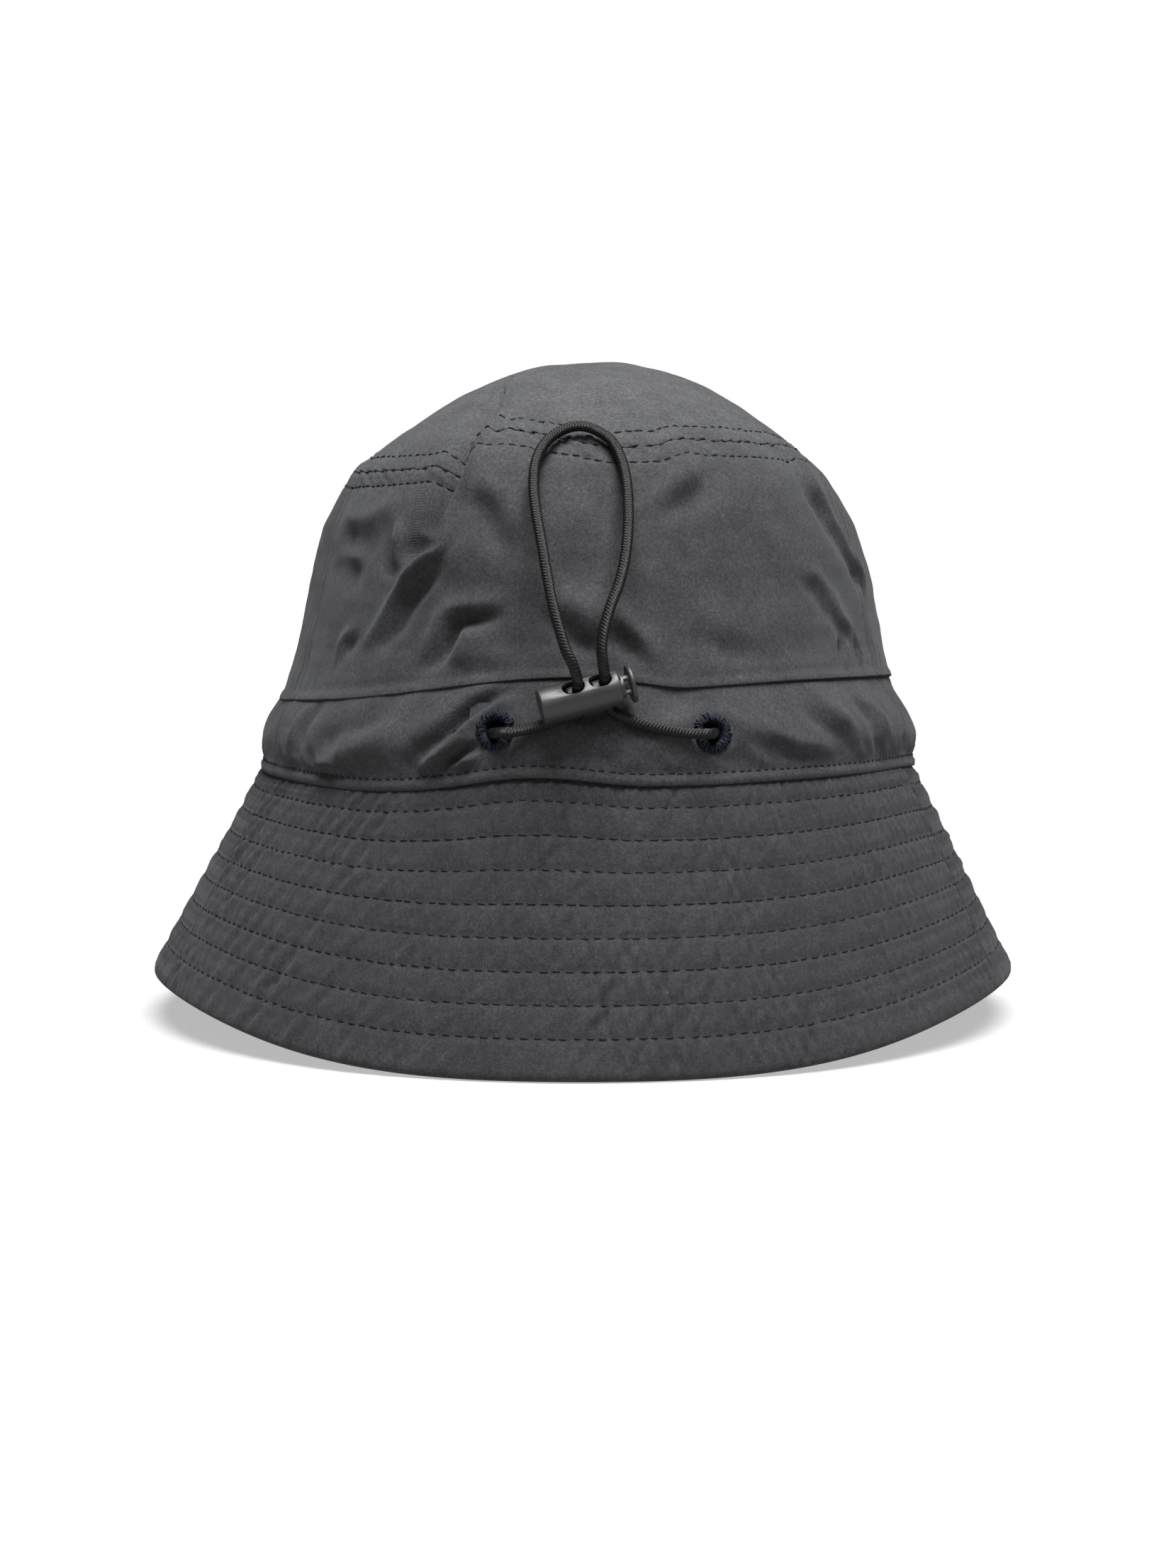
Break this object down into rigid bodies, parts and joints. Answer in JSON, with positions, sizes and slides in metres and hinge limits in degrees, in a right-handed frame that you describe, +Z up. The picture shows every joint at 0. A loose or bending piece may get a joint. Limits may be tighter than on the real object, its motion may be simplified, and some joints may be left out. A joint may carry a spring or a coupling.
{
  "type": "bucket hat",
  "caption": "Soft bucket hat with an oval tip, side-seamed crown, stitched sloping brim, drawcord casing and a sprung cord lock at the back.",
  "frame": {"origin": "on the surface the brim stands on, under the middle of the hat", "axes": "+Z up, +Y towards the front of the head, -Y the back with the cord lock, +X to the right seen from the back"},
  "size_m": [0.2332, 0.2478, 0.1754],
  "materials": {
    "shell_fabric": "charcoal peached twill, matt",
    "lining_fabric": "charcoal plain weave, matt",
    "stiffener": "off-white non-woven, matt",
    "tape": "black woven tape",
    "thread": "blue-black sewing thread, slight sheen",
    "cord": "black braided elastic cord, satin",
    "lock_plastic": "black moulded plastic, satin",
    "spring_steel": "bright drawn wire",
    "label": "pale satin ribbon, blank"
  },
  "bodies": {
    "hat": {"crown_tip": "shell_fabric", "crown_back_panel": "shell_fabric", "crown_front_panel": "shell_fabric", "casing_back": "shell_fabric", "casing_front": "shell_fabric", "brim_upper_back": "shell_fabric", "brim_upper_front": "shell_fabric", "brim_interlining_back": "stiffener", "brim_interlining_front": "stiffener", "brim_under_back": "lining_fabric", "brim_under_front": "lining_fabric", "sweatband": "lining_fabric", "tip_seam_tape": "tape", "side_seam_tape_left": "tape", "side_seam_tape_right": "tape", "eyelet_left": "thread", "eyelet_right": "thread", "eyelet_backing_left": "tape", "eyelet_backing_right": "tape", "size_label": "label", "cord_channel_run": "cord"},
    "cord": {"cord_lead_left": "cord", "cord_lead_right": "cord", "cord_loop": "cord"},
    "lock": {"cord_lock_barrel": "lock_plastic", "cord_lock_spring": "spring_steel"},
    "plunger": {"cord_lock_plunger": "lock_plastic"}
  },
  "joints": [
    {"name": "loop_swing", "type": "hinge", "parent": "hat", "child": "cord", "pos_m": [-0.0184, -0.1055, 0.0774], "axis": [0.9984, 0.056, -0.009], "range_deg": [0, 110], "deforming": ["cord_lead_left", "cord_lead_right", "cord_loop"]},
    {"name": "lock_slide", "type": "slide", "parent": "cord", "child": "lock", "axis": [0, 0.225, 0.9744], "range_m": [0, 0.034], "deforming": ["cord_lead_left", "cord_lead_right", "cord_loop"]},
    {"name": "plunger_press", "type": "slide", "parent": "lock", "child": "plunger", "axis": [-0.9592, -0.1348, -0.2487], "range_m": [0, 0.002], "stiffness_N_per_m": 300, "springref_m": -0.004, "deforming": ["cord_lock_spring"]}
  ]
}
